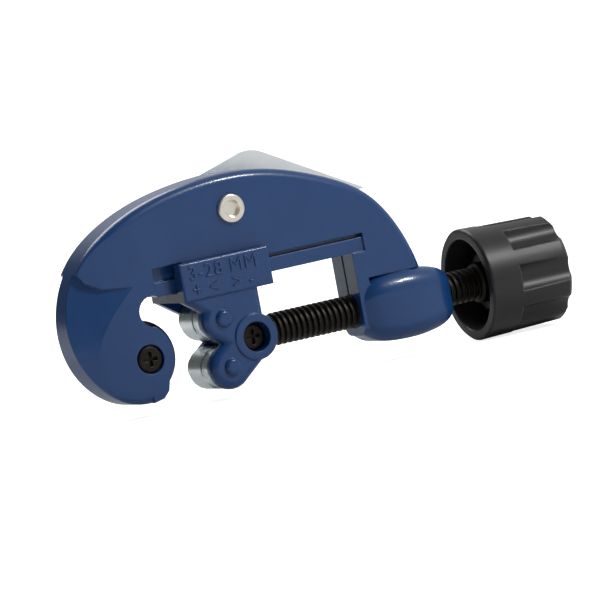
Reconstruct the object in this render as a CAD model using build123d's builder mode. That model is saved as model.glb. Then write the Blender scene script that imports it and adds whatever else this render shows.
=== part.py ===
from build123d import *
import os
from math import atan2, cos, degrees, hypot, radians, sin

# Screw-feed pipe cutter, millimetres.
# X runs along the spindle towards the knob, Z up through the arch, Y across the tool.
# The origin is where the spindle axis meets the axis of the cutter wheel.

# ---------------------------------------------------------------- driving dimensions

# frame casting
plate_half = 5.75           # half the thickness of the flat casting
arch_under = 14.0           # height of the arch's underside, the largest pipe's radius
arch_band = 25.2            # from the underside up to the crown
column_x = 57.3             # inner face of the column, the end of the window
hook_back = 19.3            # from the wheel axis to the back of the hook
hook_drop = 10.4            # from the wheel axis to the hook's lowest point
hook_tip_x = 3.3            # front of the hook's tip
rim_round = 2.3             # rounding of the outer rim
cheek_x = -2.6              # the hook's cheeks are discs that cover most of the wheel
cheek_z = 0.3
cheek_r = 8.9
relief_x = 3.0              # relief notch behind the wheel
relief_z = 11.0
relief_r = 3.7
flank_x = 16.0              # the bevelled flank is a cone about this point
flank_z = 1.0
flank_r = 23.5              # where the flank leaves the flat cheek
flank_fall = 0.225          # fall of the flank per millimetre of radius
roll_x = 3.0                # left of here the arch rolls away
roll_r = 105.0
foot_long = 3.2             # the column's foot in front of the nut boss
foot_drop = 4.5             # how far it reaches below the spindle axis

# rail that the carriage runs on
rail_high = 3.4             # lower rail, from the underside to its groove
rail_inset = 0.5            # how far the rail lies below the flat face
groove_high = 1.0
groove_deep = 2.05          # from the flat face
rail_x0 = 4.5
rail_end = 3.6              # how far the rail runs into the column
pocket_long = 8.0           # loading pocket at the left end of the groove
pocket_high = 3.5
slide_gap = 0.25            # clearance of the carriage on the rail

# nut boss, a barrel that starts at the column's inner face
boss_long = 24.2
boss_wall = 4.3             # from the spindle's crests to the widest place
boss_drop = 0.5             # how far the barrel hangs below the spindle axis
boss_flat = 0.45            # 0 makes the section round, 1 makes it square
boss_shape = (              # share of the length, share of the width
    (0.0, 0.66),
    (0.07, 0.76),
    (0.15, 0.89),
    (0.24, 0.955),
    (0.45, 1.0),
    (0.62, 0.99),
    (0.73, 0.95),
    (0.87, 0.86),
    (0.95, 0.76),
    (1.0, 0.64),
)
slot_wide = 0.8             # parting slot down the column's inner face
slot_deep = 1.2

# cutter wheel and its screw
wheel_r = 9.25
wheel_hub_half = 2.4
wheel_bevel = 3.1           # width of the blade's tapered ring
wheel_edge = 0.08           # half thickness left at the cutting edge
wheel_step = 0.9            # how far the blade lies below the hub's face
wheel_hub_in = 1.2          # the hub's slope starts this far inside the blade's ring
wheel_side_gap = 0.15
wheel_tip_gap = 0.6
pin_gap = 0.05              # running clearance on every pin and shaft
wheel_pin_r = 2.0
head_r = 3.2                # both cross-head screws
head_high = 1.7
head_room = 0.35            # counterbore over the head
head_sunk = 0.15
cross_wide = 0.95
cross_long = 3.7
cross_deep = 1.1

# reamer, its rivet and spring washer
rivet_x = 27.8
rivet_down = 8.3            # from the crown
rivet_r = 2.0
rivet_head_r = 3.5
rivet_proud = 0.9
rivet_cup_r = 2.1
rivet_cup_deep = 1.1
tail_r = 3.1
tail_high = 0.8
washer_r = 4.6
washer_thick = 0.4
blade_gap = 0.15
blade_thick = 1.8
blade_end_r = 8.2           # round end about the rivet
blade_long = 41.9           # rivet to tip along X
blade_corner = (13.6, 12.3)  # obtuse corner, measured from the rivet
blade_corner_r = 8.0
blade_tip_drop = 3.1
blade_bevel = 2.6           # width of the ground edge
blade_edge = 0.35           # thickness left at the ground edge

# rollers and axles
roller_r = 5.15
roller_half = 5.5
roller_x = 19.5
roller_apart = 1.4          # gap between the two rollers
roller_gap = 0.3
roller_round = 0.6
flare_y = -2.5              # middle of the groove that takes a flared pipe end
flare_wide = 1.6
flare_deep = 1.3
axle_r = 1.75
axle_seat = 1.7             # depth of each blind axle hole

# carriage
block_back = 9.4            # from the roller axes to the block's ends
block_front = 14.5
block_wall = 3.2            # outside the frame's flat face
block_rise = 6.7            # above the arch's underside
block_edge = 0.5
web_gap = 0.5               # over the upper roller
cheek_thick = 2.8           # thickness of the lobed plate
cheek_round = 1.9
lobe_wall = 0.15            # front lobes, outside the rollers
rear_lobe_r = 3.9           # rear lobes, smaller than the rollers
rear_round = 0.8
plate_edge = 3.3            # from the clamp screw to the plate's right edge
dome_r = 2.1
dome_high = 1.0
clamp_off = 7.5             # from the roller axes to the screw that holds the halves
clamp_boss_r = 5.6
clamp_proud = 0.4           # the boss's face stands this far above the plate
clamp_shank_r = 1.75
clamp_hole_r = 3.6
clamp_hole_deep = 4.5
clamp_head_high = 2.2
clamp_end = 7.0             # how far the screw reaches into the rear half
parting = 0.04              # each half stops this far from the middle

# spindle
spindle_r = 4.0
flange_r = 3.6
flange_off = 2.9            # from the clamp screw to the flange
flange_thick = 0.8
neck_r = 2.5
neck_long = 2.7
lead_in = 1.0               # the lead chamfer starts this far inside the crests
lead_long = 2.6
disc_thick = 0.6
shank_in = 0.6              # step from the crests to the shank in the knob
shank_short = 0.3           # the shank ends this far before the end washer

# knob
knob_room = 7.3             # from the nut boss to the knob
knob_long = 22.0
knob_r0 = 13.55
knob_r1 = 12.9
rim_in_r = 11.2
cavity_r = 10.2
cavity_end_r = 9.6
cavity_turn = 5.2           # depth at which the cavity becomes steep-walled
end_wall = 3.2
hub_r = 7.0
hub_sunk = 5.0
flutes = 8
flute_back = 8.2            # from the knob's mouth to the centre of each flute's round start
flute_r = 4.0
flute_floor_r = 11.2
mouth_edge = 0.5
knob_edge = 0.9
insert_wall = 1.5           # wall of the steel insert, outside the shank
insert_back = 1.8           # from the knob's mouth to the insert
insert_long = 13.4
insert_edge = 0.5
end_recess_r = 5.2
end_washer_r = 4.6
end_washer_thick = 0.8
end_screw_r = 2.0
end_head_r = 3.6
end_head_high = 1.8
end_screw_long = 9.0

# ---------------------------------------------------------------- worked-out sizes

crown_z = arch_under + arch_band
rivet_z = crown_z - rivet_down
strip_half = plate_half - rail_inset
groove_half = plate_half - groove_deep
groove_z0 = arch_under + rail_high
groove_z1 = groove_z0 + groove_high
rail_x1 = column_x + rail_end
pocket_x1 = rail_x0 + pocket_long
boss_x1 = column_x + boss_long
boss_half = spindle_r + boss_wall
wheel_rim_r = wheel_r - wheel_bevel
slot_half = wheel_hub_half + wheel_side_gap
slot_r = wheel_r + wheel_tip_gap
nut_r = spindle_r + pin_gap
roller_z = roller_r + roller_apart / 2
lobe_r = roller_r + lobe_wall
cheek_in = roller_half + roller_gap
cheek_face = cheek_in + cheek_thick
block_x0 = roller_x - block_back
block_x1 = roller_x + block_front
block_half = plate_half + slide_gap + block_wall
block_z0 = roller_z + roller_r + web_gap
block_z1 = arch_under + block_rise
clamp_x = roller_x + clamp_off
clamp_face = cheek_face + clamp_proud
plate_x1 = clamp_x + plate_edge
web_z1 = arch_under - slide_gap
wall_in = plate_half + slide_gap
rail_wall_in = strip_half + slide_gap
flange_x0 = clamp_x + flange_off
flange_x1 = flange_x0 + flange_thick
neck_x1 = flange_x1 + neck_long
disc_x0 = flange_x0 - disc_thick
knob_x0 = boss_x1 + knob_room
knob_x1 = knob_x0 + knob_long
thread_x1 = knob_x0 + insert_back
insert_x1 = thread_x1 + insert_long
shank_r = spindle_r - shank_in
insert_r = shank_r + insert_wall
washer_y1 = plate_half + washer_thick
blade_y0 = washer_y1 + blade_gap
blade_y1 = blade_y0 + blade_thick
tail_y0 = blade_y1 + blade_gap
hub_x0 = knob_x0 + hub_sunk
recess_x0 = knob_x1 - end_wall
shank_x1 = recess_x0 - shank_short
tip_x0 = -1.0               # the hook's tip is added in front of this line
root_z = 7.5                # the arch's outline ends at this height inside the boss

os.makedirs("parts", exist_ok=True)


def save(part, name):
    """Label a finished piece and write its STEP file."""
    part.label = name
    export_step(part, f"parts/{name}.step")


def cross_recess(plane):
    """Cut a cross-head recess into the piece being built, on the head's face."""
    with BuildSketch(plane) as cross:
        Rectangle(cross_long, cross_wide)
        Rectangle(cross_wide, cross_long)
    extrude(cross.sketch, amount=-cross_deep, mode=Mode.SUBTRACT)


# ---------------------------------------------------------------- frame casting

hook_tip = (
    (tip_x0, -hook_drop),
    (hook_tip_x - 1.6, -hook_drop + 0.6),
    (hook_tip_x, -hook_drop + 2.2),
    (cheek_x + 0.74 * cheek_r, cheek_z - 0.67 * cheek_r),
    (tip_x0, cheek_z),
)

# The flank falls away as a cone below the crease, on both sides of the hook.
with BuildPart() as flank_ring:
    with BuildSketch(Plane.XY.offset(flank_z)):
        with BuildLine():
            Polyline(
                (flank_x - flank_r, -plate_half),
                (flank_x - 2 * flank_r, -plate_half + flank_r * flank_fall),
                (flank_x - 2 * flank_r, -2 * plate_half),
                (flank_x - flank_r, -2 * plate_half),
                close=True,
            )
        make_face()
    revolve(axis=Axis((flank_x, 0, flank_z), (0, 1, 0)))
    mirror(about=Plane.XZ)
    with BuildSketch(Plane.XZ):
        with BuildLine():
            Polyline(
                (roll_x, -2 * hook_drop),
                (roll_x, groove_z0 - 0.2),
                (roll_x - 12, groove_z0 + 1.3),
                (roll_x - 16, groove_z0 + 3.6),
                (roll_x - 20, groove_z0 + 9.6),
                (-2 * hook_back, groove_z0 + 9.6),
                (-2 * hook_back, -2 * hook_drop),
                close=True,
            )
        make_face()
    extrude(amount=2 * plate_half, both=True, mode=Mode.INTERSECT)

# Seen from above, the left end of the arch narrows in one long roll.
with BuildPart() as roll_envelope:
    with BuildSketch(Plane.XY.offset(-2 * hook_drop)):
        with BuildLine():
            left = -hook_back - 1
            fall = roll_r - (roll_r**2 - (roll_x - left) ** 2) ** 0.5
            half_fall = roll_r - (roll_r**2 - (0.5 * (roll_x - left)) ** 2) ** 0.5
            middle = 0.5 * (roll_x + left)
            right = boss_x1 + 1
            edge_top = plate_half - fall
            ThreePointArc(
                (roll_x, -plate_half), (middle, half_fall - plate_half), (left, -edge_top)
            )
            Line((left, -edge_top), (left, edge_top))
            ThreePointArc((left, edge_top), (middle, plate_half - half_fall), (roll_x, plate_half))
            Polyline(
                (roll_x, plate_half),
                (right, plate_half),
                (right, -plate_half),
                (roll_x, -plate_half),
            )
        make_face()
    extrude(amount=2 * (hook_drop + crown_z))

with BuildPart() as frame_casting:
    with BuildSketch(Plane.XZ):
        with BuildLine():
            outer = Spline(
                (column_x + 17.7, root_z),
                (column_x + 14.3, arch_under + 3.6),
                (column_x + 7.8, crown_z - 12.3),
                (column_x - 3.9, crown_z - 5.4),
                (column_x - 21.0, crown_z - 0.4),
                (0.3 * column_x, crown_z - 0.5),
                (-3.3, crown_z - 6.4),
                (-hook_back + 5.9, crown_z - 14.1),
                (-hook_back + 0.4, 0.75 * arch_under),
                (-hook_back + 3.3, -0.8),
                (-hook_back + 11.5, -hook_drop + 1.5),
                (tip_x0, -hook_drop),
            )
            Polyline(
                outer @ 1,
                (tip_x0, arch_under / 2),
                (column_x + 1, arch_under / 2),
                (column_x + 1, root_z),
                outer @ 0,
            )
        make_face()
    extrude(amount=plate_half, both=True)
    rim = frame_casting.edges().filter_by(lambda e: e.length > 2 * column_x)
    fillet(rim, radius=rim_round)
    with BuildSketch(Plane.XZ):
        with Locations((relief_x - 0.8, arch_under)):
            Rectangle(column_x - relief_x + 0.8, arch_under, align=(Align.MIN, Align.MAX))
    extrude(amount=2 * plate_half, both=True, mode=Mode.SUBTRACT)
    with BuildSketch(Plane.XZ):
        with BuildLine():
            Polyline(*hook_tip, close=True)
        make_face()
        with Locations((cheek_x, cheek_z)):
            Circle(cheek_r)
    extrude(amount=plate_half, both=True)
    with BuildSketch(Plane.XZ):
        with Locations((relief_x, relief_z)):
            Circle(relief_r)
    extrude(amount=2 * plate_half, both=True, mode=Mode.SUBTRACT)
    add(roll_envelope.part, mode=Mode.INTERSECT)
    add(flank_ring.part, mode=Mode.SUBTRACT)
    # foot of the column, in front of the nut boss
    with BuildSketch(Plane.XZ):
        with Locations((column_x, -foot_drop)):
            Rectangle(foot_long, arch_under + foot_drop, align=(Align.MIN, Align.MIN))
    extrude(amount=plate_half, both=True)
    # nut boss, a barrel round the spindle
    for along, _ in boss_shape:
        with BuildSketch(Plane.YZ.offset(column_x + along * boss_long)):
            half = boss_half * dict(boss_shape)[along]
            with Locations((0, -boss_drop)):
                RectangleRounded(2 * half, 2 * half, (1 - boss_flat) * half)
    loft()
    # rail, groove and loading pocket on both faces
    for side in (1, -1):
        with BuildSketch(Plane.XZ.offset(side * strip_half)):
            with Locations(((rail_x0 + rail_x1) / 2, arch_under)):
                Rectangle(rail_x1 - rail_x0, rail_high, align=(Align.CENTER, Align.MIN))
        extrude(amount=side * plate_half, mode=Mode.SUBTRACT)
        with BuildSketch(Plane.XZ.offset(side * groove_half)):
            with Locations(((rail_x0 + rail_x1) / 2, groove_z0)):
                Rectangle(rail_x1 - rail_x0, groove_high, align=(Align.CENTER, Align.MIN))
            with Locations(((rail_x0 + pocket_x1) / 2, groove_z0)):
                Rectangle(pocket_x1 - rail_x0, pocket_high, align=(Align.CENTER, Align.MIN))
        extrude(amount=side * plate_half, mode=Mode.SUBTRACT)
    # parting slot down the column's inner face
    with BuildSketch(Plane.XY):
        with Locations((column_x, 0)):
            Rectangle(2 * slot_deep, slot_wide)
    extrude(amount=arch_under, mode=Mode.SUBTRACT)
    # bore of the nut
    with BuildSketch(Plane.YZ.offset(column_x - 1)):
        Circle(nut_r)
    extrude(amount=boss_long + 2, mode=Mode.SUBTRACT)
    # slot for the wheel, open towards the rollers and at the hook's tip
    with BuildSketch(Plane.XZ):
        Circle(slot_r)
        with Locations((0, -slot_r)):
            Rectangle(2 * slot_r, 2 * slot_r, align=(Align.MIN, Align.CENTER))
    extrude(amount=slot_half, both=True, mode=Mode.SUBTRACT)
    # wheel screw: head seat in front, thread in the rear cheek
    seat_y = plate_half - head_sunk - head_high
    with BuildSketch(Plane.XZ.offset(seat_y)):
        Circle(head_r + head_room)
    extrude(amount=plate_half, mode=Mode.SUBTRACT)
    with BuildSketch(Plane.XZ):
        Circle(wheel_pin_r)
    extrude(amount=2 * plate_half, both=True, mode=Mode.SUBTRACT)
    # rivet hole
    with BuildSketch(Plane.XZ):
        with Locations((rivet_x, rivet_z)):
            Circle(rivet_r)
    extrude(amount=2 * plate_half, both=True, mode=Mode.SUBTRACT)
save(frame_casting.part, "frame_casting")

# ---------------------------------------------------------------- cutter wheel and screw

with BuildPart() as cutter_wheel:
    with BuildSketch(Plane.XY):
        with BuildLine():
            Polyline(
                (wheel_pin_r + pin_gap, -wheel_hub_half),
                (wheel_rim_r - wheel_hub_in, -wheel_hub_half),
                (wheel_rim_r, -wheel_hub_half + wheel_step),
                (wheel_r, -wheel_edge),
                (wheel_r, wheel_edge),
                (wheel_rim_r, wheel_hub_half - wheel_step),
                (wheel_rim_r - wheel_hub_in, wheel_hub_half),
                (wheel_pin_r + pin_gap, wheel_hub_half),
                close=True,
            )
        make_face()
    revolve(axis=Axis.Y)
save(cutter_wheel.part, "cutter_wheel")

with BuildPart() as wheel_screw:
    with BuildSketch(Plane.XZ.offset(seat_y)):
        Circle(head_r)
    extrude(amount=head_high)
    fillet(wheel_screw.edges().group_by(Axis.Y)[0], radius=0.6)
    with BuildSketch(Plane.XZ.offset(seat_y)):
        Circle(wheel_pin_r)
    extrude(amount=-(seat_y + plate_half - 0.5))
    chamfer(wheel_screw.edges().group_by(Axis.Y)[-1], length=0.4)
    cross_recess(Plane.XZ.offset(seat_y + head_high))
save(wheel_screw.part, "wheel_screw")

# ---------------------------------------------------------------- reamer blade, rivet, washer

with BuildPart() as reamer_rivet:
    with BuildSketch(Plane.XZ.offset(plate_half)):
        with Locations((rivet_x, rivet_z)):
            Circle(rivet_head_r)
    extrude(amount=rivet_proud)
    fillet(reamer_rivet.edges().group_by(Axis.Y)[0], radius=0.5)
    with BuildSketch(Plane.XZ.offset(plate_half)):
        with Locations((rivet_x, rivet_z)):
            Circle(rivet_r)
    extrude(amount=-(plate_half + tail_y0))
    with BuildSketch(Plane.XZ.offset(-tail_y0)):
        with Locations((rivet_x, rivet_z)):
            Circle(tail_r)
    extrude(amount=-tail_high)
    fillet(reamer_rivet.edges().group_by(Axis.Y)[-1], radius=0.5)
    with BuildSketch(Plane.XZ.offset(plate_half + rivet_proud)):
        with Locations((rivet_x, rivet_z)):
            Circle(rivet_cup_r)
    extrude(amount=-rivet_cup_deep, taper=22, mode=Mode.SUBTRACT)
save(reamer_rivet.part, "reamer_rivet")

with BuildPart() as reamer_washer:
    with BuildSketch(Plane.XZ.offset(-plate_half)):
        with Locations((rivet_x, rivet_z)):
            Circle(washer_r)
            Circle(rivet_r + pin_gap, mode=Mode.SUBTRACT)
    extrude(amount=-washer_thick)
save(reamer_washer.part, "reamer_washer")

with BuildPart() as reamer_blade:
    corner = (rivet_x + blade_corner[0], rivet_z + blade_corner[1])
    tip = (rivet_x + blade_long, rivet_z - blade_tip_drop)
    reach = hypot(*blade_corner)
    lean = degrees(atan2(blade_corner[1], blade_corner[0])) + degrees(atan2(
        (reach**2 - blade_end_r**2) ** 0.5, blade_end_r
    ))
    top = (rivet_x + blade_end_r * cos(radians(lean)), rivet_z + blade_end_r * sin(radians(lean)))
    with BuildSketch(Plane.XZ.offset(-blade_y1)):
        with Locations((rivet_x, rivet_z)):
            Circle(blade_end_r)
        with BuildLine():
            Polyline(top, corner, tip, (rivet_x, rivet_z - blade_end_r), close=True)
        make_face()
        sharp = vertices().sort_by_distance((corner[0], corner[1], 0))[0]
        fillet(sharp, radius=blade_corner_r)
    extrude(amount=blade_thick)
    # ground edge from the corner to the tip
    edge = Vector(tip[0] - corner[0], 0, tip[1] - corner[1]).normalized()
    outwards = Vector(-edge.Z, 0, edge.X)
    ground_deep = blade_thick - blade_edge
    slope = outwards * (1 / blade_bevel) + Vector(0, 1 / ground_deep, 0)
    split(
        bisect_by=Plane((tip[0], blade_y1 - ground_deep, tip[1]), z_dir=slope),
        keep=Keep.BOTTOM,
    )
    with BuildSketch(Plane.XZ.offset(-blade_y1)):
        with Locations((rivet_x, rivet_z)):
            Circle(rivet_r + pin_gap)
    extrude(amount=blade_thick, mode=Mode.SUBTRACT)
save(reamer_blade.part, "reamer_blade")

# ---------------------------------------------------------------- rollers and axles


def roller(z, name):
    """A guide roller with a groove that takes a flared pipe end."""
    groove_r = roller_r - flare_deep
    with BuildPart() as body:
        with BuildSketch(Plane.XY.offset(z)):
            with BuildLine():
                Polyline(
                    (roller_x + axle_r + pin_gap, -roller_half),
                    (roller_x + roller_r, -roller_half),
                    (roller_x + roller_r, flare_y - flare_wide / 2),
                    (roller_x + groove_r, flare_y),
                    (roller_x + roller_r, flare_y + flare_wide / 2),
                    (roller_x + roller_r, roller_half),
                    (roller_x + axle_r + pin_gap, roller_half),
                    close=True,
                )
            make_face()
            rims = vertices().group_by(Axis.X)[-1]
            fillet(rims, radius=roller_round)
        revolve(axis=Axis((roller_x, 0, z), (0, 1, 0)))
    save(body.part, name)


def axle(z, name):
    """A plain pin, held in blind holes in both halves of the carriage."""
    half = cheek_in + axle_seat
    with BuildPart() as pin:
        with BuildSketch(Plane.XZ.offset(-half)):
            with Locations((roller_x, z)):
                Circle(axle_r)
        extrude(amount=2 * half)
    save(pin.part, name)


roller(roller_z, "roller_upper")
roller(-roller_z, "roller_lower")
axle(roller_z, "roller_axle_upper")
axle(-roller_z, "roller_axle_lower")

# ---------------------------------------------------------------- carriage halves

strut = hypot(clamp_x - roller_x, roller_z)
strut_tilt = degrees(atan2(roller_z, clamp_x - roller_x))


def bar(x0, x1, z0, z1, side, y0, y1):
    """Add a rectangular bar between two distances from the middle, on one side."""
    with BuildSketch(Plane.XZ.offset(side * y0)) as section:
        with Locations(((x0 + x1) / 2, (z0 + z1) / 2)):
            Rectangle(x1 - x0, z1 - z0)
    extrude(section.sketch, amount=side * (y1 - y0))


def carriage_half(side, name):
    """One cast half of the roller carriage; side is 1 in front and -1 behind."""
    outward = Axis((0, 0, 0), (0, -side, 0))
    plate_lobe_r = lobe_r if side == 1 else rear_lobe_r
    plate_round = cheek_round if side == 1 else rear_round
    with BuildPart() as half:
        # lobed plate beside the rollers
        with BuildSketch(Plane.XZ.offset(side * cheek_in)):
            for way in (1, -1):
                middle_of = ((roller_x + clamp_x) / 2, way * roller_z / 2)
                with Locations(middle_of):
                    SlotCenterToCenter(strut, 2 * plate_lobe_r, rotation=-way * strut_tilt)
            with BuildLine():
                Polyline(
                    (block_x0, web_z1),
                    (block_x0, block_z0),
                    (roller_x - 0.8 * plate_lobe_r, roller_z + 0.35 * plate_lobe_r),
                    (roller_x, 0.6 * roller_z),
                    (plate_x1, 0.6 * roller_z),
                    (plate_x1, web_z1),
                    close=True,
                )
            make_face()
        extrude(amount=side * (cheek_face - cheek_in))
        plate_rim = half.faces().sort_by(outward)[-1].outer_wire().edges()
        fillet(plate_rim.filter_by(lambda e: e.center().Z < block_z0), radius=plate_round)
        # domes over the axle ends
        for z in (roller_z, -roller_z):
            with BuildSketch(Plane.XZ.offset(side * (cheek_face - 0.3))):
                with Locations((roller_x, z)):
                    Circle(dome_r)
            extrude(amount=side * (dome_high + 0.3))
            crest = (roller_x, -side * (cheek_face + dome_high), z)
            fillet(half.faces().sort_by_distance(crest)[0].edges(), radius=dome_high - 0.1)
        # boss round the clamp screw
        with BuildSketch(Plane.XZ.offset(side * cheek_in)):
            with Locations((clamp_x, 0)):
                Circle(clamp_boss_r)
        extrude(amount=side * (clamp_face - cheek_in))
        boss_top = half.faces().sort_by_distance((clamp_x, -side * clamp_face, 0))[0]
        fillet(boss_top.outer_wire().edges(), radius=clamp_proud - 0.1)
        with BuildSketch(Plane.XZ.offset(side * parting)):
            with Locations((clamp_x, 0)):
                Circle(clamp_boss_r)
            with Locations((plate_x1, 0)):
                Rectangle(2 * (plate_x1 - clamp_x) - 2, block_z0, align=(Align.MAX, Align.MIN))
            with Locations((roller_x, roller_z), (roller_x, -roller_z)):
                Circle(roller_r + roller_gap, mode=Mode.SUBTRACT)
        extrude(amount=side * (cheek_in - parting))
        # block that carries the marks, outside the arch
        bar(block_x0, block_x1, block_z0, block_z1, side, wall_in, block_half)
        block_middle = (roller_x, -side * block_half, (web_z1 + block_z1) / 2)
        block_face = half.faces().sort_by_distance(block_middle)[0]
        fillet(block_face.outer_wire().edges(), radius=block_edge)
        # web under the rail, wall beside it and the tongue in its groove
        bar(block_x0, block_x1, block_z0, web_z1, side, parting, wall_in)
        bar(block_x0, block_x1, web_z1, groove_z1 - slide_gap, side, rail_wall_in, wall_in)
        tongue_z0 = groove_z0 + slide_gap
        tongue_z1 = groove_z1 - slide_gap
        bar(block_x0, block_x1, tongue_z0, tongue_z1, side, groove_half + slide_gap, rail_wall_in)
        # blind axle holes
        with BuildSketch(Plane.XZ.offset(side * cheek_in)):
            with Locations((roller_x, roller_z), (roller_x, -roller_z)):
                Circle(axle_r)
        extrude(amount=side * axle_seat, mode=Mode.SUBTRACT)
        # clamp screw: head seat in front, thread behind
        with BuildSketch(Plane.XZ):
            with Locations((clamp_x, 0)):
                Circle(clamp_shank_r)
        extrude(amount=side * 2 * block_half, mode=Mode.SUBTRACT)
        if side == 1:
            with BuildSketch(Plane.XZ.offset(clamp_face - clamp_hole_deep)):
                with Locations((clamp_x, 0)):
                    Circle(clamp_hole_r)
            extrude(amount=block_half, mode=Mode.SUBTRACT)
        # seat of the spindle's flange and its thrust disc, and the neck bore
        with BuildSketch(Plane.YZ.offset(disc_x0)):
            Circle(flange_r + 2 * pin_gap)
        extrude(amount=flange_x1 + pin_gap - disc_x0, mode=Mode.SUBTRACT)
        with BuildSketch(Plane.YZ.offset(flange_x1)):
            Circle(neck_r + pin_gap)
        extrude(amount=clamp_boss_r, mode=Mode.SUBTRACT)
    save(half.part, name)


carriage_half(1, "carriage_front")
carriage_half(-1, "carriage_rear")

with BuildPart() as carriage_screw:
    clamp_seat = clamp_face - clamp_hole_deep
    with BuildSketch(Plane.XZ.offset(clamp_seat)):
        with Locations((clamp_x, 0)):
            Circle(head_r)
    extrude(amount=clamp_head_high)
    fillet(carriage_screw.edges().group_by(Axis.Y)[0], radius=0.7)
    with BuildSketch(Plane.XZ.offset(clamp_seat)):
        with Locations((clamp_x, 0)):
            Circle(clamp_shank_r)
    extrude(amount=-(clamp_seat + clamp_end))
    chamfer(carriage_screw.edges().group_by(Axis.Y)[-1], length=0.4)
    top_of_head = Plane.XZ.offset(clamp_seat + clamp_head_high)
    cross_recess(Plane((clamp_x, top_of_head.origin.Y, 0), (1, 0, 0), (0, -1, 0)))
save(carriage_screw.part, "carriage_screw")

with BuildPart() as thrust_disc:
    with BuildSketch(Plane.YZ.offset(disc_x0)):
        Circle(flange_r)
    extrude(amount=disc_thick)
save(thrust_disc.part, "thrust_disc")

# ---------------------------------------------------------------- spindle

with BuildPart() as spindle:
    with BuildSketch(Plane.XZ):
        with BuildLine():
            Polyline(
                (flange_x0 + pin_gap, 0),
                (flange_x0 + pin_gap, flange_r),
                (flange_x1, flange_r),
                (flange_x1, neck_r),
                (neck_x1, neck_r),
                (neck_x1, spindle_r - lead_in),
                (neck_x1 + lead_long, spindle_r),
                (thread_x1, spindle_r),
                (thread_x1, shank_r),
                (shank_x1, shank_r),
                (shank_x1, 0),
                close=True,
            )
        make_face()
    revolve(axis=Axis.X)
    screw_tip_x = recess_x0 + end_washer_thick - end_screw_long
    with BuildSketch(Plane.YZ.offset(screw_tip_x - 1)):
        Circle(end_screw_r)
    extrude(amount=end_screw_long + 1, mode=Mode.SUBTRACT)
save(spindle.part, "spindle")

# ---------------------------------------------------------------- knob and its fixings

with BuildPart() as knob:
    with BuildSketch(Plane.XZ):
        with BuildLine():
            Polyline(
                (knob_x0, rim_in_r),
                (knob_x0, knob_r0 - mouth_edge),
                (knob_x0 + mouth_edge, knob_r0),
                (knob_x1 - knob_edge, knob_r1),
                (knob_x1, knob_r1 - knob_edge),
                (knob_x1, end_recess_r),
                (recess_x0, end_recess_r),
                (recess_x0, shank_r),
                (insert_x1, shank_r),
                (insert_x1, insert_r),
                (hub_x0, insert_r),
                (hub_x0, hub_r),
                (recess_x0 - 0.5, hub_r + 0.4),
                (recess_x0 - 0.5, cavity_end_r),
                (knob_x0 + cavity_turn, cavity_r),
                close=True,
            )
        make_face()
    revolve(axis=Axis.X)
    flute_circle = flute_floor_r + flute_r
    flute_x0 = knob_x0 + flute_back
    with Locations(Plane.YZ.offset(flute_x0)):
        with PolarLocations(flute_circle, flutes):
            Sphere(flute_r, mode=Mode.SUBTRACT)
            Cylinder(
                flute_r,
                knob_x1 - flute_x0 + 1,
                align=(Align.CENTER, Align.CENTER, Align.MIN),
                mode=Mode.SUBTRACT,
            )
save(knob.part, "knob")

with BuildPart() as knob_insert:
    with BuildSketch(Plane.YZ.offset(thread_x1)):
        Circle(insert_r)
        Circle(shank_r, mode=Mode.SUBTRACT)
    extrude(amount=insert_x1 - thread_x1)
    chamfer(knob_insert.edges().group_by(Axis.X)[0].sort_by(SortBy.RADIUS)[-1], length=insert_edge)
save(knob_insert.part, "knob_insert")

with BuildPart() as knob_washer:
    with BuildSketch(Plane.YZ.offset(recess_x0)):
        Circle(end_washer_r)
        Circle(end_screw_r + pin_gap, mode=Mode.SUBTRACT)
    extrude(amount=end_washer_thick)
save(knob_washer.part, "knob_washer")

with BuildPart() as knob_screw:
    head_x0 = recess_x0 + end_washer_thick
    with BuildSketch(Plane.YZ.offset(head_x0)):
        Circle(end_head_r)
    extrude(amount=end_head_high)
    fillet(knob_screw.edges().group_by(Axis.X)[-1], radius=0.6)
    with BuildSketch(Plane.YZ.offset(head_x0)):
        Circle(end_screw_r)
    extrude(amount=-end_screw_long)
    cross_recess(Plane.YZ.offset(head_x0 + end_head_high))
save(knob_screw.part, "knob_screw")
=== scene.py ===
# %% [markdown]
# # A screw-feed pipe cutter, finished in Blender
# The engineering model already holds every working piece at its real size. This lesson loads it as a
# fixed frame, then adds what a working model leaves out: a real screw thread, raised marks on the
# carriage, and a paint, plating or plastic for each piece.

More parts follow.
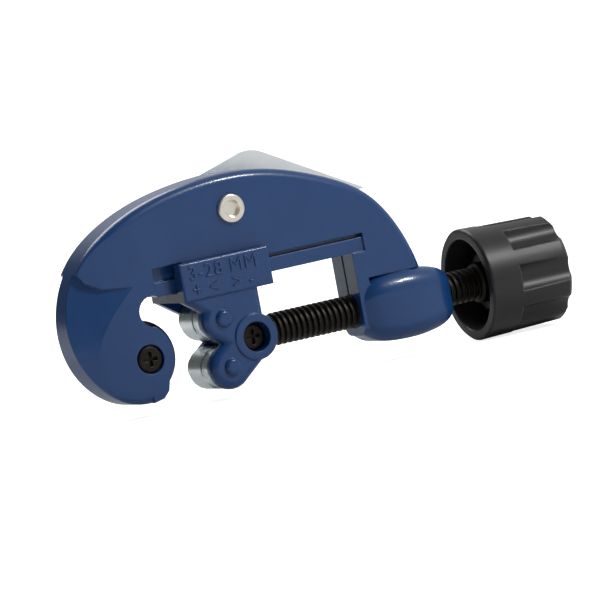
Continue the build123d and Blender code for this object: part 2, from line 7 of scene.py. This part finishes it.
# %% Load the fixed frame
import math
import bpy
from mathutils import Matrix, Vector


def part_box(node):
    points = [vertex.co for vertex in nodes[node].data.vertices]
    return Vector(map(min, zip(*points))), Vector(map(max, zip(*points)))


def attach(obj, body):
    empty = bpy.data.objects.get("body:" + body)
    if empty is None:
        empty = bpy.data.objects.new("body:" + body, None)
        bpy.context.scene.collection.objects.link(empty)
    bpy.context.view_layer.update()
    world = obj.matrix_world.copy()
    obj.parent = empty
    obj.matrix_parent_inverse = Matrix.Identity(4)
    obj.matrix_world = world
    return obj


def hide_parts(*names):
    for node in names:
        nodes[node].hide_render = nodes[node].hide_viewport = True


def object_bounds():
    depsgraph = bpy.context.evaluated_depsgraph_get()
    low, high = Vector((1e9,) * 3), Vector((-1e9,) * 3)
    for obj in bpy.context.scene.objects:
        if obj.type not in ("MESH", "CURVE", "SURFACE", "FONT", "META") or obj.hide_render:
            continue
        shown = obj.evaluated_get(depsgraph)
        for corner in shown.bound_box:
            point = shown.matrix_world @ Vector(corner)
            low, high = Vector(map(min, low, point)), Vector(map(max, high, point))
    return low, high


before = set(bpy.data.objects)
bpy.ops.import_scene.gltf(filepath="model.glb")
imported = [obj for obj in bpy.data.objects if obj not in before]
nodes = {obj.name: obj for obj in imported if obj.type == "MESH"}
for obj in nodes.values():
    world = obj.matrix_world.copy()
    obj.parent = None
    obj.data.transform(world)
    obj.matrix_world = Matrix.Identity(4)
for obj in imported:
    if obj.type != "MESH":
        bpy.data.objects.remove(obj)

cad_box = [list(corner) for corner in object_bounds()]
MM = 0.001
print("pieces in the frame:", len(nodes))

# %% [markdown]
# ## Where things are
# Where a box can give a place, it is read from the frame's own boxes, so the looks follow the
# engineering model. A box gives the lowest and the highest corner of a piece, in metres. The few sizes
# that no box gives, such as the column's face and the spindle's neck, repeat that model's values.

# %% Read the places that the looks depend on
spindle_low, spindle_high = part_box("spindle")
block_low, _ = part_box("carriage_front")
insert_low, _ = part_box("knob_insert")
crest_r = spindle_high.z
floor_z = cad_box[0][2]
print("spindle radius in mm:", round(crest_r / MM, 3))

# %% [markdown]
# ## The camera
# The tool is seen slightly from its hook end and a little from above. The camera stands 5 m away with a
# very long lens, which keeps the tool's lines almost parallel, and it is rolled, so the spindle climbs
# to the right. A long lens suits a product picture, because it doesn't swell the near end.

# %% Make the camera
view_side = math.radians(-26.0)
view_height = math.radians(4.7)
view_roll = math.radians(-10.5)
view_away = 5.0
view_wide = 0.1429
aim = Vector((0.0443, 0.0, 0.0054))
towards = Vector((
    math.sin(view_side) * math.cos(view_height),
    -math.cos(view_side) * math.cos(view_height),
    math.sin(view_height),
))
camera_data = bpy.data.cameras.new("camera")
camera_data.sensor_width = 36.0
camera_data.lens = camera_data.sensor_width * view_away / view_wide
camera = bpy.data.objects.new("camera", camera_data)
bpy.context.scene.collection.objects.link(camera)
camera.location = aim + towards * view_away
camera.rotation_mode = "QUATERNION"
level = (-towards).to_track_quat("-Z", "Y")
camera.rotation_quaternion = level
camera.rotation_mode = "XYZ"
camera.rotation_euler.rotate_axis("Z", view_roll)
bpy.context.scene.camera = camera
print("lens in mm:", round(camera_data.lens, 1))

# %% [markdown]
# ## Shader maths as plain expressions
# A material is a network of small nodes. Wiring them by hand hides the idea, so one class wraps a
# socket and gives it the usual operators. An expression such as `1 - mask` then adds the Math node.

# %% A wrapped socket
class Wire:
    """A node socket that can be used in sums."""

    def __init__(self, tree, socket):
        self.tree = tree
        self.socket = socket

    def add(self, kind, settings=None, out=0, **inputs):
        """Add a node of any kind, set it up, feed its sockets and return one output."""
        node = self.tree.nodes.new(kind)
        for key, value in (settings or {}).items():
            setattr(node, key, value)
        for key, value in inputs.items():
            name = key[1:] if key.startswith("_") else key.replace("_", " ")
            socket = node.inputs[int(name)] if name.isdigit() else node.inputs[name]
            if isinstance(value, Wire):
                self.tree.links.new(value.socket, socket)
            else:
                socket.default_value = value
        return Wire(self.tree, node.outputs[out])

    def maths(self, operation, a, b=0.0):
        """One Math node on two values."""
        return self.add("ShaderNodeMath", {"operation": operation}, _0=a, _1=b)

    def __add__(self, other):
        return self.maths("ADD", self, other)

    def __radd__(self, other):
        return self.maths("ADD", other, self)

    def __sub__(self, other):
        return self.maths("SUBTRACT", self, other)

    def __rsub__(self, other):
        return self.maths("SUBTRACT", other, self)

    def __mul__(self, other):
        return self.maths("MULTIPLY", self, other)

    def __rmul__(self, other):
        return self.maths("MULTIPLY", other, self)

    def above(self, edge, soft):
        """0 below an edge and 1 above it, with a soft step."""
        return self.add(
            "ShaderNodeMapRange", {"interpolation_type": "SMOOTHSTEP"},
            Value=self, From_Min=edge - soft, From_Max=edge + soft,
        )

    def blend(self, first, second):
        """Mix two colours by this mask."""
        node = self.tree.nodes.new("ShaderNodeMix")
        node.data_type = "RGBA"
        colour_a, colour_b = (s for s in node.inputs if s.type == "RGBA")
        self.tree.links.new(self.socket, node.inputs["Factor"])
        for socket, value in ((colour_a, first), (colour_b, second)):
            if isinstance(value, Wire):
                self.tree.links.new(value.socket, socket)
            else:
                socket.default_value = (*value, 1)
        return Wire(self.tree, next(s for s in node.outputs if s.type == "RGBA"))


# %% Start a material and read places on its piece
def start(name, **constants):
    """A new Principled material, with its constants set on the shader itself."""
    material = bpy.data.materials.new(name)
    material.use_nodes = True
    tree = material.node_tree
    shader = tree.nodes["Principled BSDF"]
    for key, value in constants.items():
        shader.inputs[key.replace("_", " ")].default_value = value
    texture = tree.nodes.new("ShaderNodeTexCoord")
    place = Wire(tree, texture.outputs["Object"])
    return material, shader, place


def feed(shader, **links):
    """Link worked-out values to the shader's sockets."""
    for key, wire in links.items():
        wire.tree.links.new(wire.socket, shader.inputs[key.replace("_", " ")])


def grain(place, size, detail=3.0, roughness=0.55):
    """Noise whose grains are about so many metres across."""
    return place.add(
        "ShaderNodeTexNoise", Vector=place, Scale=1.0 / size, Detail=detail, Roughness=roughness
    )


def axis_of(place, letter):
    """One coordinate of a place."""
    return place.add("ShaderNodeSeparateXYZ", out="XYZ".index(letter), Vector=place)


def soft_edges(place, radius):
    """The surface normal with every edge rounded, and a mask that is 1 on those edges."""
    rounded = place.add("ShaderNodeBevel", {"samples": 6}, Radius=radius)
    true = place.add("ShaderNodeNewGeometry", out=1)
    alike = place.add("ShaderNodeVectorMath", {"operation": "DOT_PRODUCT"}, out=1, _0=rounded, _1=true)
    return rounded, 1 - alike


def bumps(place, height, distance, strength, normal):
    """A bumped normal from a height, on top of another normal."""
    return place.add(
        "ShaderNodeBump", Height=height, Distance=distance, Strength=strength, Normal=normal
    )


# %% [markdown]
# ## Floor and light
# A catalogue picture stands on white without a horizon. Here the floor and the room are white to the
# camera, and they give less light than they show, so dark paint stays dark. The room is bright on its
# right side only, which puts a quiet sheen on the faces that look that way. A small lamp from the upper
# right adds one crisp highlight to the round boss, and a wide lamp behind lights the top edges.

# %% Lay the floor
floor_reach = 40.0
bpy.ops.object.select_all(action="DESELECT")
bpy.ops.mesh.primitive_circle_add(
    vertices=96, radius=floor_reach, fill_type="NGON", location=(0, 0, floor_z)
)
floor = bpy.context.object
floor.name = "floor"
bpy.ops.object.transform_apply(location=True, rotation=True, scale=True)
white_floor, floor_shader, floor_place = start(
    "white_floor", Base_Color=(0.8, 0.8, 0.8, 1), Roughness=0.8, Specular_IOR_Level=0.1,
    Emission_Strength=0.8,
)
feed(floor_shader, Emission_Color=floor_place.add("ShaderNodeLightPath"))
floor.data.materials.append(white_floor)
print("floor at mm:", round(floor_z / MM, 2))

# %% Light the room from its right side
world = bpy.data.worlds.new("white_room")
world.use_nodes = True
room_tree = world.node_tree
room = room_tree.nodes["Background"]
room.inputs["Color"].default_value = (1, 1, 1, 1)
towards_room = Wire(room_tree, room_tree.nodes.new("ShaderNodeTexCoord").outputs["Generated"])
room_light = towards_room.add(
    "ShaderNodeMapRange", {"interpolation_type": "SMOOTHSTEP"},
    Value=axis_of(towards_room, "X"), From_Min=-0.05, From_Max=0.45, To_Min=0.10, To_Max=0.62,
)
to_camera = towards_room.add("ShaderNodeLightPath")
room_tree.links.new(to_camera.maths("MAXIMUM", to_camera, room_light).socket, room.inputs["Strength"])
bpy.context.scene.world = world
bpy.context.scene.view_settings.view_transform = "Standard"
print("room:", world.name)


# %% Hang the lamps
def soft_lamp(name, place, size, watts):
    """Hang a square area lamp at a place and turn it to the tool."""
    data = bpy.data.lights.new(name, "AREA")
    data.size = size
    data.energy = watts
    lamp = bpy.data.objects.new(name, data)
    bpy.context.scene.collection.objects.link(lamp)
    lamp.location = place
    lamp.rotation_euler = (aim - Vector(place)).to_track_quat("-Z", "Y").to_euler()
    return lamp


lamps = [
    soft_lamp("key_lamp", place=(0.46, -0.56, 0.65), size=0.15, watts=4.4),
    soft_lamp("back_lamp", place=(0.05, 0.55, 0.70), size=0.5, watts=4.0),
]
print("lamps:", len(lamps))

# %% [markdown]
# ## Blue enamel over zinc castings
# The frame and the carriage are zinc castings under thick blue enamel. Its surface is glossy with a
# faint orange peel. Every edge is painted a lighter blue: partly the enamel lying thinner there, and
# partly a painted highlight along the rounded edges. Two faces are machined after painting and show bare
# grey
# metal: the column's inner face and the carriage's end by the hook. A position mask finds them, which is
# simpler and sharper than splitting the mesh.

# %% Mix the enamel
def enamel(name, bare_x, bare_top, bare_low, bare_wide):
    """Glossy blue enamel, with bare metal on one face that looks towards -X."""
    mask_soft = 0.1 * MM
    material, shader, place = start(
        name, Specular_IOR_Level=0.35, Coat_Weight=0.35, Coat_Roughness=0.10, Coat_IOR=1.5
    )
    normal, edge = soft_edges(place, 0.45 * MM)
    along = axis_of(place, "X")
    up = axis_of(place, "Z")
    across = place.maths("ABSOLUTE", axis_of(place, "Y"))
    face = place.add("ShaderNodeNewGeometry", out=1)
    backwards = 0.0 - axis_of(face, "X")
    near = 1 - place.maths("ABSOLUTE", along - bare_x).above(0.3 * MM, mask_soft)
    band = (1 - up.above(bare_top, mask_soft)) * up.above(bare_low, mask_soft)
    bare = near * band * (1 - across.above(bare_wide, mask_soft)) * backwards.above(0.9, 0.05)
    broad = grain(place, 9 * MM, 2.0)
    fine = grain(place, 0.7 * MM, 2.0)
    paint = broad.blend((0.004, 0.042, 0.155), (0.009, 0.055, 0.190))
    # Lighter blue on every edge: partly thinner enamel, and partly a painted highlight.
    paint = (edge * 1.2).blend(paint, (0.03, 0.09, 0.25))
    metal = grain(place, 0.5 * MM, 4.0).blend((0.09, 0.11, 0.14), (0.17, 0.20, 0.24))
    feed(
        shader,
        Base_Color=bare.blend(paint, metal),
        Metallic=bare * 0.7,
        Roughness=0.27 + 0.1 * fine + 0.2 * bare,
        Normal=bumps(place, grain(place, 1.1 * MM, 1.5), 0.05 * MM, 0.5, normal),
    )
    return material


column_x = 57.3 * MM
blue_frame = enamel(
    "blue_enamel_frame", column_x, bare_top=13.9 * MM, bare_low=5.0 * MM, bare_wide=5.3 * MM
)
blue_carriage = enamel(
    "blue_enamel_carriage", block_low.x, bare_top=13.7 * MM, bare_low=7.0 * MM, bare_wide=8.6 * MM
)
print("enamel ready")

# %% [markdown]
# ## Blackened steel
# The spindle, the wheel and the screws are steel, blackened in a hot oxide bath and oiled. The finish
# is nearly black with a brown cast, and it wears lighter on the thread's crests. Noise makes the uneven
# patches, and a mask of the edges places the wear, so no piece needs painting by hand.

# %% Blacken the steel
def black_oxide():
    """Oiled black oxide, worn brown-grey on its edges."""
    material, shader, place = start("black_oxide", Metallic=0.85, Specular_IOR_Level=0.5)
    normal, edge = soft_edges(place, 0.12 * MM)
    patches = grain(place, 3.0 * MM, 4.0)
    fine = grain(place, 0.25 * MM, 3.0)
    body = patches.blend((0.013, 0.012, 0.010), (0.038, 0.033, 0.028))
    lighter_edges = (edge * 3.0 * fine).above(0.25, 0.25)
    feed(
        shader,
        Base_Color=lighter_edges.blend(body, (0.20, 0.17, 0.14)),
        Roughness=0.36 + 0.22 * patches,
        Normal=bumps(place, fine, 0.03 * MM, 0.4, normal),
    )
    return material


oxide = black_oxide()
print("black oxide ready")

# %% [markdown]
# ## Bright metals
# The rollers are zinc plated, which is a bright, slightly blue-green white. The reamer and the axles
# are ground steel with fine scratches, and the rivet is nickel plated, which is warmer. They differ only
# in colour, roughness and the direction of their marks, so one function makes all three.

# %% Plate and grind the bright metals
def bright(name, dark, light, rough, stretch, scratch):
    """A bright metal, with fine marks drawn out along one direction."""
    material, shader, place = start(name, Metallic=1.0)
    normal, _ = soft_edges(place, 0.15 * MM)
    drawn = place.add("ShaderNodeMapping", {"vector_type": "TEXTURE"}, Vector=place, Scale=stretch)
    marks = grain(drawn, 0.3 * MM, 3.0)
    cloud = grain(place, 4 * MM, 2.0)
    tone = cloud.blend(dark, light)
    feed(
        shader,
        Base_Color=tone,
        Roughness=rough + 0.12 * marks + 0.06 * cloud,
        Normal=bumps(place, marks, scratch, 0.35, normal),
    )
    return material


zinc = bright("bright_zinc", (0.60, 0.68, 0.68), (0.78, 0.84, 0.83), 0.20, (14, 1, 14), 0.01 * MM)
steel = bright("ground_steel", (0.80, 0.84, 0.85), (0.92, 0.96, 0.97), 0.28, (1, 1, 22), 0.01 * MM)
nickel = bright("nickel_rivet", (0.80, 0.75, 0.66), (0.92, 0.88, 0.80), 0.22, (3, 3, 3), 0.001 * MM)
print("bright metals ready")

# %% [markdown]
# ## Black plastic
# The knob is moulded in a black-grey plastic with a fine spark-eroded grain. Handling polishes the
# edges of its ribs, so they are smoother. They are also painted lighter: partly the polish, and partly a
# painted highlight. The grain is far too fine to model, so it is a bump, which costs no faces.

# %% Mould the knob's plastic
def plastic():
    """Fine-grained black plastic, smoother on its rib edges and lighter there: polish and a painted
    highlight.
    """
    material, shader, place = start("black_plastic", Specular_IOR_Level=0.4)
    normal, edge = soft_edges(place, 0.6 * MM)
    fine = grain(place, 0.22 * MM, 3.0)
    broad = grain(place, 6 * MM, 3.0)
    body = broad.blend((0.012, 0.012, 0.0125), (0.020, 0.020, 0.021))
    # Rib edges painted lighter: partly polish from handling, and partly a painted highlight.
    lighter_edges = (edge * (0.5 + fine) * 2.0).above(0.25, 0.25)
    feed(
        shader,
        Base_Color=lighter_edges.blend(body, (0.09, 0.09, 0.094)),
        Roughness=0.34 - 0.12 * lighter_edges + 0.08 * broad,
        Normal=bumps(place, fine, 0.03 * MM, 0.5, normal),
    )
    return material


knob_plastic = plastic()
print("plastic ready")

# %% [markdown]
# ## A finish for every CAD piece
# A piece takes its finish as its only material. Giving them from one list keeps the pieces of one
# process together, as they would be plated or painted in one batch.

# %% Give every CAD piece its finish
finishes = {
    "frame_casting": blue_frame,
    "carriage_front": blue_carriage,
    "carriage_rear": blue_carriage,
    "knob": knob_plastic,
    "reamer_rivet": nickel,
}
for piece in ("wheel_screw", "carriage_screw", "cutter_wheel", "knob_insert"):
    finishes[piece] = oxide
for piece in ("roller_upper", "roller_lower", "knob_washer", "knob_screw"):
    finishes[piece] = zinc
for piece in ("roller_axle_upper", "roller_axle_lower", "thrust_disc", "reamer_blade", "reamer_washer"):
    finishes[piece] = steel
for piece, finish in finishes.items():
    nodes[piece].data.materials.clear()
    nodes[piece].data.materials.append(finish)
print("pieces with a finish:", len(finishes))

# %% [markdown]
# ## Modelling helpers
# A turned part is easiest as a lathe does it: draw half of its outline, then spin it round the axis.
# The outline starts as one vertex, and each next point is extruded from the last.

# %% Draw an outline and spin it
def only(piece):
    """Make one object the selected and active one."""
    bpy.ops.object.select_all(action="DESELECT")
    piece.select_set(True)
    bpy.context.view_layer.objects.active = piece


def outline(name, points):
    """Draw an open line through points, one extruded vertex at a time."""
    bpy.ops.object.select_all(action="DESELECT")
    bpy.ops.mesh.primitive_plane_add(size=MM, location=points[0])
    piece = bpy.context.object
    piece.name = name
    bpy.ops.object.mode_set(mode="EDIT")
    bpy.ops.mesh.select_all(action="SELECT")
    bpy.ops.mesh.merge(type="CENTER")
    for before, after in zip(points, points[1:]):
        step = Vector(after) - Vector(before)
        bpy.ops.mesh.extrude_vertices_move(TRANSFORM_OT_translate={"value": step})
    bpy.ops.object.mode_set(mode="OBJECT")
    bpy.ops.object.transform_apply(location=True, rotation=True, scale=True)
    return piece


def tidy(piece, smooth_below=35.0):
    """Merge doubles, turn faces outwards and smooth the gentle edges."""
    only(piece)
    bpy.ops.object.mode_set(mode="EDIT")
    bpy.ops.mesh.select_all(action="SELECT")
    bpy.ops.mesh.remove_doubles(threshold=0.001 * MM)
    bpy.ops.mesh.normals_make_consistent(inside=False)
    bpy.ops.object.mode_set(mode="OBJECT")
    bpy.ops.object.shade_smooth_by_angle(angle=math.radians(smooth_below))


def turned(name, points, steps=64):
    """A solid turned about the X axis from an outline that starts and ends on it."""
    piece = outline(name, points)
    only(piece)
    bpy.ops.object.mode_set(mode="EDIT")
    bpy.ops.mesh.select_all(action="SELECT")
    bpy.ops.mesh.spin(steps=steps, angle=2 * math.pi, center=(0, 0, 0), axis=(1, 0, 0))
    bpy.ops.object.mode_set(mode="OBJECT")
    tidy(piece)
    return piece


def combine(piece, other, operation):
    """Join, cut or intersect two solids, and remove the second."""
    only(piece)
    modifier = piece.modifiers.new("combine", "BOOLEAN")
    modifier.operation = operation
    modifier.solver = "EXACT"
    modifier.object = other
    bpy.ops.object.modifier_apply(modifier=modifier.name)
    bpy.data.objects.remove(other)


# %% [markdown]
# ## The spindle's thread
# A trapezoidal thread is one tooth outline swept along a helix. The Screw modifier does that exactly:
# the outline spans one pitch, and each turn moves it on by one pitch, so the turns meet. The blank that
# a turner would start from, with its tapered lead, then trims the thread's crests.

# %% Cut the thread
pitch = 1.5 * MM
tooth_deep = 0.85 * MM
crest_round = 0.12 * MM
lead_x = 33.4 * MM
lead_long = 2.6 * MM
flange_x1 = 30.7 * MM
flange_r = 3.6 * MM
neck_r = 2.5 * MM
shank_r = 3.4 * MM
thread_end = insert_low.x
root_r = crest_r - tooth_deep
first = lead_x - 2 * pitch
turns = math.ceil((thread_end - first) / pitch) + 2
tooth = [
    (first, 0, root_r),
    (first + 0.34 * pitch, 0, root_r),
    (first + 0.46 * pitch, 0, crest_r - crest_round),
    (first + 0.51 * pitch, 0, crest_r),
    (first + 0.83 * pitch, 0, crest_r),
    (first + 0.88 * pitch, 0, crest_r - crest_round),
    (first + pitch, 0, root_r),
]
thread = outline("spindle_thread", tooth)
screw = thread.modifiers.new("helix", "SCREW")
screw.axis = "X"
screw.angle = 2 * math.pi
screw.screw_offset = pitch
screw.iterations = turns
screw.steps = 40
screw.render_steps = 40
screw.use_merge_vertices = True
screw.merge_threshold = 0.002 * MM
only(thread)
bpy.ops.object.modifier_apply(modifier=screw.name)
print("thread turns:", turns, "faces:", len(thread.data.polygons))

# %% Close the thread's ends and trim it to the blank
bpy.ops.object.mode_set(mode="EDIT")
bpy.ops.mesh.select_all(action="SELECT")
bpy.ops.mesh.bisect(
    plane_co=(first + 1.2 * pitch, 0, 0), plane_no=(1, 0, 0), use_fill=True, clear_inner=True
)
bpy.ops.mesh.select_all(action="SELECT")
bpy.ops.mesh.bisect(
    plane_co=(thread_end + pitch / 2, 0, 0), plane_no=(1, 0, 0), use_fill=True, clear_outer=True
)
bpy.ops.object.mode_set(mode="OBJECT")
tidy(thread)
blank_r = 1.001 * crest_r
blank = turned("spindle_blank", [
    (lead_x, 0, 0),
    (lead_x, 0, 0.75 * crest_r),
    (lead_x + lead_long, 0, blank_r),
    (thread_end, 0, blank_r),
    (thread_end, 0, 0),
])
combine(thread, blank, "INTERSECT")
neck_end = lead_x + 0.5 * MM
core_r = 0.9 * root_r
core_step_r = shank_r - 0.3 * MM
core = turned("spindle_core", [
    (spindle_low.x, 0, 0),
    (spindle_low.x, 0, flange_r),
    (flange_x1, 0, flange_r),
    (flange_x1, 0, neck_r),
    (neck_end, 0, neck_r),
    (neck_end, 0, core_r),
    (thread_end - MM, 0, core_r),
    (thread_end - MM, 0, core_step_r),
    (thread_end, 0, core_step_r),
    (thread_end, 0, shank_r),
    (spindle_high.x, 0, shank_r),
    (spindle_high.x, 0, 0),
])
combine(thread, core, "UNION")
tidy(thread, 40.0)
thread.data.materials.append(oxide)
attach(thread, "screw")
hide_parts("spindle")
print("spindle faces:", len(thread.data.polygons))

# %% [markdown]
# ## Raised marks on the carriage
# The casting mould leaves raised marks on the carriage's front. Plain ones are used here: the pipe range
# that fits, and which way the carriage moves. Text is typed flat, given a depth, turned into a mesh and
# set on the block, which is quicker than modelling letters.

# %% Raise the marks
mark_high = 0.30 * MM
mark_sunk = 0.05 * MM
mark_size = 4.7 * MM
block_face_y = -9.2 * MM


def raised(name, words, x, z):
    """Raised lettering on the carriage's front face."""
    bpy.ops.object.select_all(action="DESELECT")
    bpy.ops.object.text_add(location=(x, block_face_y + mark_sunk, z), rotation=(math.pi / 2, 0, 0))
    text = bpy.context.object
    text.name = name
    text.data.body = words
    text.data.size = mark_size
    text.data.space_character = 1.1
    text.data.extrude = mark_high
    text.data.resolution_u = 4
    bpy.ops.object.convert(target="MESH")
    piece = bpy.context.object
    bpy.ops.object.transform_apply(location=True, rotation=True, scale=True)
    tidy(piece, 20.0)
    piece.data.materials.clear()
    piece.data.materials.append(blue_carriage)
    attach(piece, "carriage")
    return piece


marks = [
    raised("range_mark", "3-28 MM", 12.0 * MM, 16.5 * MM),
    raised("travel_mark", "+ <  > -", 12.4 * MM, 12.4 * MM),
]
print("marks:", [len(m.data.polygons) for m in marks])
